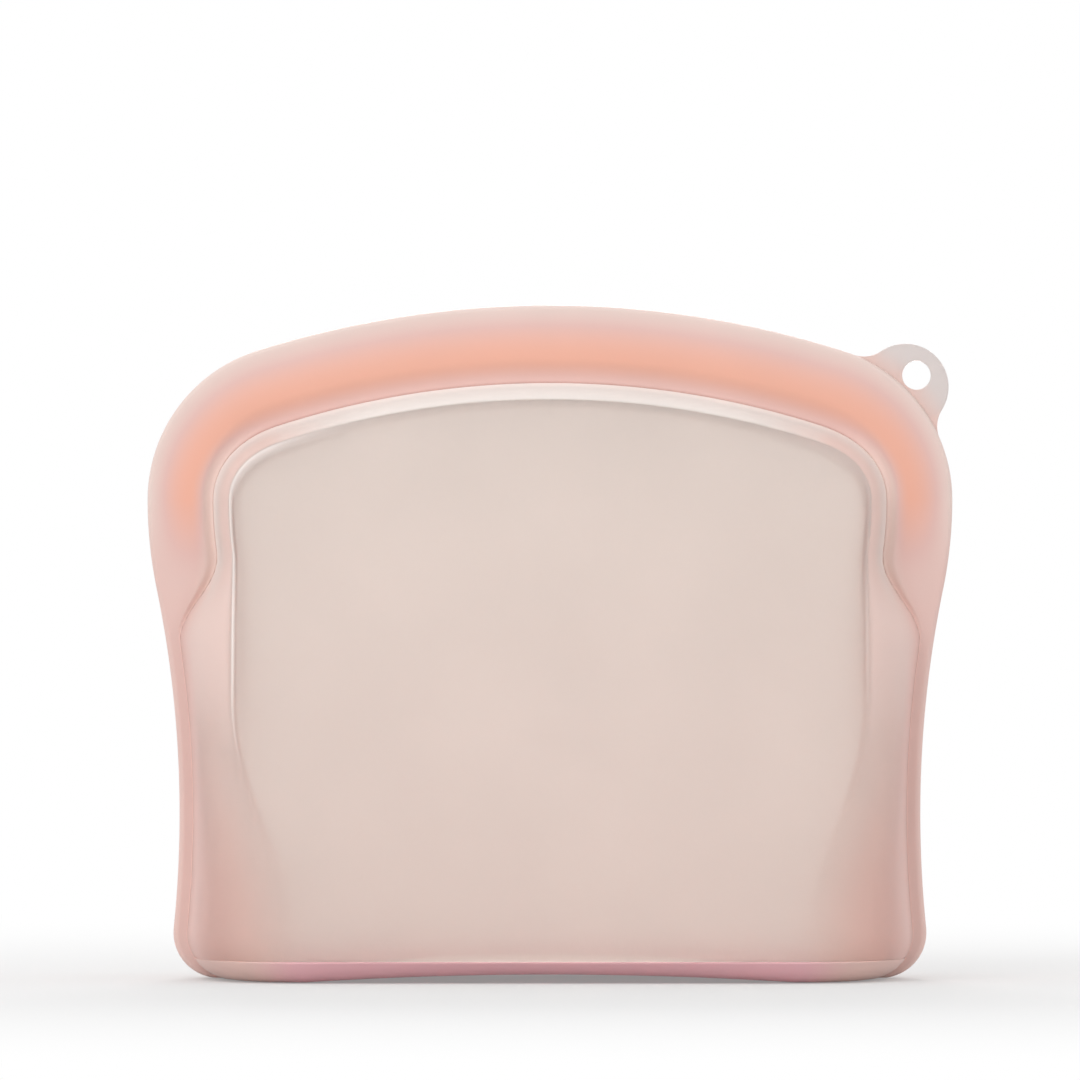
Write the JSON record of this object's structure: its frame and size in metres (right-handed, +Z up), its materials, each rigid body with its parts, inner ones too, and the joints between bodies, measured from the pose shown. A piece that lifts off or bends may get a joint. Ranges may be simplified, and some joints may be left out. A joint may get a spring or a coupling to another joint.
{
  "type": "reusable silicone storage bag",
  "caption": "Stand-up translucent silicone food bag with an arched press-to-close mouth, tongue-and-groove seal, narrow side seams and a corner hang tab.",
  "frame": {"origin": "on the ground, under the middle of the bag", "axes": "+Z up, +X along the mouth towards the hang tab, -Y towards the front wall"},
  "size_m": [0.186, 0.076, 0.1555],
  "materials": {
    "wall_silicone": "thin translucent milky silicone, faint peach tint, satin",
    "rim_silicone": "thick translucent peach silicone, satin",
    "tab_silicone": "thin translucent silicone, almost colourless, satin"
  },
  "bodies": {
    "pouch": {"base_panel": "wall_silicone", "front_wall": "wall_silicone", "back_wall": "wall_silicone", "left_side_seam": "rim_silicone", "right_side_seam": "rim_silicone", "left_mouth_stop": "rim_silicone", "right_mouth_stop": "rim_silicone", "front_fold_band": "wall_silicone", "back_fold_band": "wall_silicone"},
    "front_lip": {"front_neck_panel": "wall_silicone", "front_rim": "rim_silicone"},
    "back_lip": {"back_neck_panel": "wall_silicone", "back_rim": "rim_silicone", "seal_tongue": "rim_silicone", "hang_tab": "tab_silicone"}
  },
  "joints": [
    {"name": "front_lip_open", "type": "hinge", "parent": "pouch", "child": "front_lip", "pos_m": [0, 0, 0.09805], "axis": [1, 0, 0], "range_deg": [0, 45], "stiffness_Nm_per_rad": 0.03, "deforming": ["front_fold_band"]},
    {"name": "back_lip_open", "type": "hinge", "parent": "pouch", "child": "back_lip", "pos_m": [0, 0, 0.09805], "axis": [-1, 0, 0], "range_deg": [0, 45], "stiffness_Nm_per_rad": 0.03, "deforming": ["back_fold_band"]}
  ]
}
